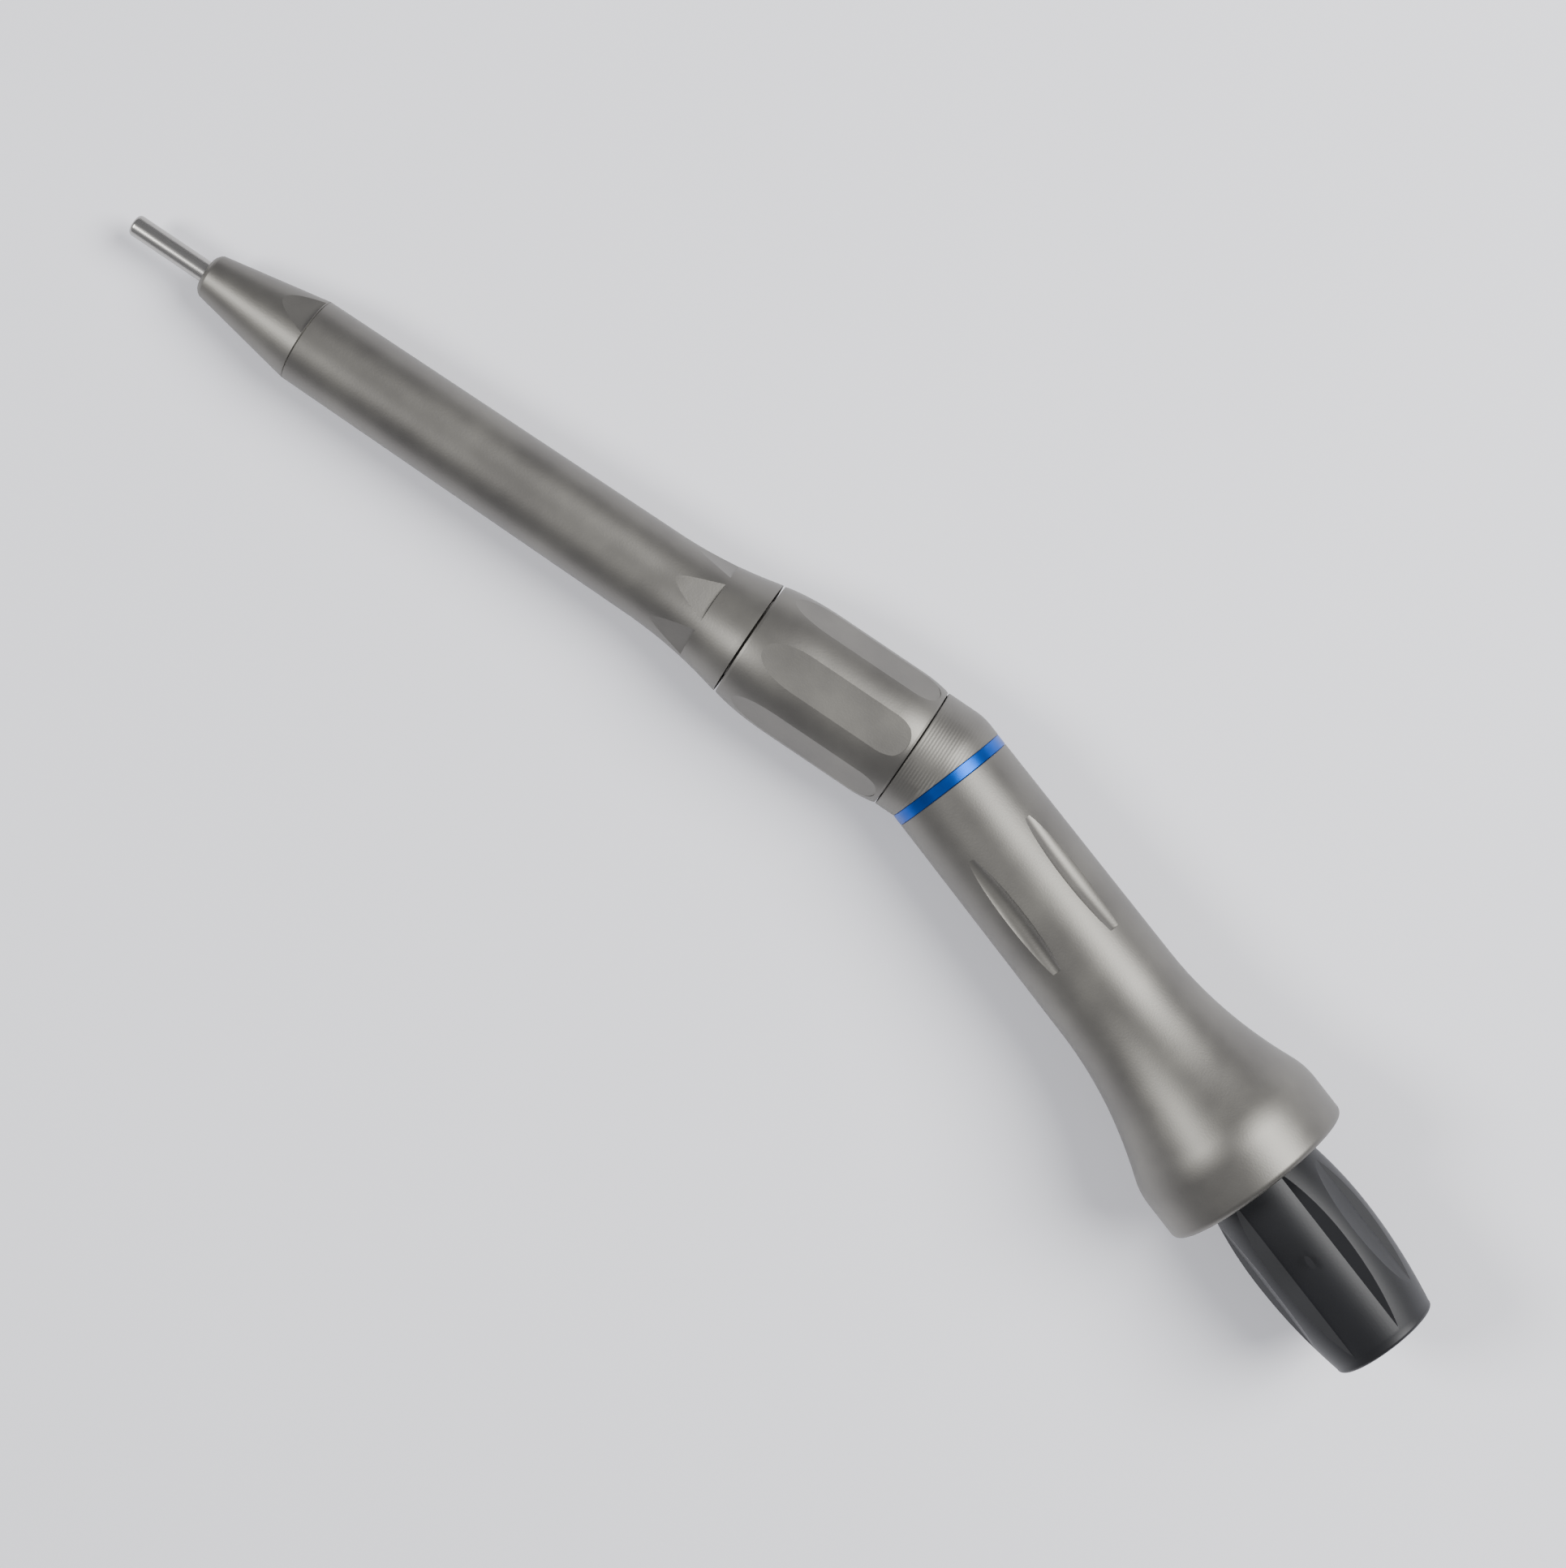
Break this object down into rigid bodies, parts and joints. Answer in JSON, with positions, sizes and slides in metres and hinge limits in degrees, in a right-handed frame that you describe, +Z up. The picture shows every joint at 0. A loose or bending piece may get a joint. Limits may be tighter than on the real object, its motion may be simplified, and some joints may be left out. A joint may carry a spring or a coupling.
{
  "type": "surgical handpiece",
  "caption": "Bent slim dental handpiece with a twist-lock chuck ring, blue colour ring, flared motor socket, a test pin in the nose and a black transport cap.",
  "frame": {"origin": "middle of the footprint, on the surface that the handpiece lies on", "axes": "+X towards the nose, level with the front tube seen from above; +Z up, away from the surface that it lies on"},
  "size_m": [0.1736, 0.0358, 0.0219],
  "materials": {
    "satin_steel": "bead-blasted satin",
    "polished_steel": "polished",
    "bearing_steel": "ground and polished",
    "spring_steel": "drawn wire",
    "blue_anodised": "anodised, glossy",
    "black_plastic": "moulded, semi-gloss",
    "rubber_seal": "moulded",
    "silicone_seal": "moulded",
    "bronze": "turned",
    "cage_resin": "machined phenolic resin"
  },
  "bodies": {
    "housing": {"nose_cone": "satin_steel", "nose_seal": "rubber_seal", "front_tube": "satin_steel", "elbow_housing": "satin_steel", "colour_ring": "blue_anodised", "grip_sheath": "satin_steel", "socket_liner": "polished_steel", "ring_seals": "rubber_seal", "sheath_seal": "rubber_seal", "detent_ball": "polished_steel", "detent_spring": "spring_steel", "bearing_spacer_tube": "polished_steel", "middle_circlip": "polished_steel", "rear_bearing_nut": "polished_steel", "front_outer_race": "bearing_steel", "middle_outer_race": "bearing_steel", "rear_outer_race": "bearing_steel", "drive_outer_spacer": "polished_steel", "preload_washer": "polished_steel", "drive_bearing_nut": "polished_steel", "drive_front_outer_race": "bearing_steel", "drive_rear_outer_race": "bearing_steel"},
    "lock_ring": {"lock_ring": "satin_steel", "cam_sleeve": "bronze"},
    "release": {"release_sleeve": "bronze", "release_pins": "polished_steel"},
    "spindle": {"spindle": "polished_steel", "spindle_gear": "polished_steel", "front_inner_race": "bearing_steel", "middle_inner_race": "bearing_steel", "rear_inner_race": "bearing_steel", "chuck_spring": "spring_steel"},
    "drawbar": {"drawbar": "polished_steel", "drawbar_pin": "polished_steel", "collet": "polished_steel"},
    "spindle_cages": {"front_balls": "bearing_steel", "front_cage": "cage_resin", "middle_balls": "bearing_steel", "middle_cage": "cage_resin", "rear_balls": "bearing_steel", "rear_cage": "cage_resin"},
    "drive_shaft": {"drive_shaft": "polished_steel", "drive_gear": "polished_steel", "drive_inner_spacer": "polished_steel", "drive_front_inner_race": "bearing_steel", "drive_rear_inner_race": "bearing_steel", "dog_screw": "polished_steel", "dog_spring": "spring_steel"},
    "drive_cages": {"drive_front_balls": "bearing_steel", "drive_front_cage": "cage_resin", "drive_rear_balls": "bearing_steel", "drive_rear_cage": "cage_resin"},
    "drive_dog": {"drive_dog": "polished_steel"},
    "test_pin": {"test_pin": "polished_steel"},
    "transport_cap": {"transport_cap": "black_plastic", "cap_seal": "silicone_seal"}
  },
  "joints": [
    {"name": "lock_ring_turn", "type": "hinge", "parent": "housing", "child": "lock_ring", "pos_m": [-0.0135, -0.0108, 0.00772], "axis": [0.9992, 0, -0.0388], "range_deg": [0, 40]},
    {"name": "release_slide", "type": "slide", "parent": "housing", "child": "release", "axis": [0.9992, 0, -0.0388], "range_m": [0, 0.0008]},
    {"name": "spindle_spin", "type": "hinge", "parent": "housing", "child": "spindle", "pos_m": [-0.0135, -0.0108, 0.00772], "axis": [0.9992, 0, -0.0388], "continuous": true},
    {"name": "drawbar_slide", "type": "slide", "parent": "spindle", "child": "drawbar", "axis": [0.9992, 0, -0.0388], "range_m": [0, 0.0008], "deforming": ["chuck_spring"]},
    {"name": "spindle_cage_turn", "type": "hinge", "parent": "housing", "child": "spindle_cages", "pos_m": [-0.0135, -0.0108, 0.00772], "axis": [0.9992, 0, -0.0388], "continuous": true},
    {"name": "drive_spin", "type": "hinge", "parent": "housing", "child": "drive_shaft", "pos_m": [-0.0135, -0.0108, 0.00772], "axis": [0.9493, -0.3079, -0.0637], "continuous": true},
    {"name": "drive_cage_turn", "type": "hinge", "parent": "housing", "child": "drive_cages", "pos_m": [-0.0135, -0.0108, 0.00772], "axis": [0.9493, -0.3079, -0.0637], "continuous": true},
    {"name": "drive_dog_slide", "type": "slide", "parent": "drive_shaft", "child": "drive_dog", "axis": [0.9493, -0.3079, -0.0637], "range_m": [0, 0.0014], "stiffness_N_per_m": 500, "springref_m": -0.001, "deforming": ["dog_spring"]},
    {"name": "test_pin_pull", "type": "slide", "parent": "spindle", "child": "test_pin", "axis": [0.9992, 0, -0.0388], "range_m": [0, 0.04]},
    {"name": "cap_pull", "type": "slide", "parent": "housing", "child": "transport_cap", "axis": [-0.9493, 0.3079, 0.0637], "range_m": [0, 0.06]}
  ],
  "couplings": [
    {"joint": "release_slide", "follows": "lock_ring_turn", "m_per_rad": 0.0011459},
    {"joint": "drawbar_slide", "follows": "lock_ring_turn", "m_per_rad": 0.0011459},
    {"joint": "drive_spin", "follows": "spindle_spin", "ratio": 1},
    {"joint": "spindle_cage_turn", "follows": "spindle_spin", "ratio": 0.42308},
    {"joint": "drive_cage_turn", "follows": "spindle_spin", "ratio": 0.42308}
  ]
}
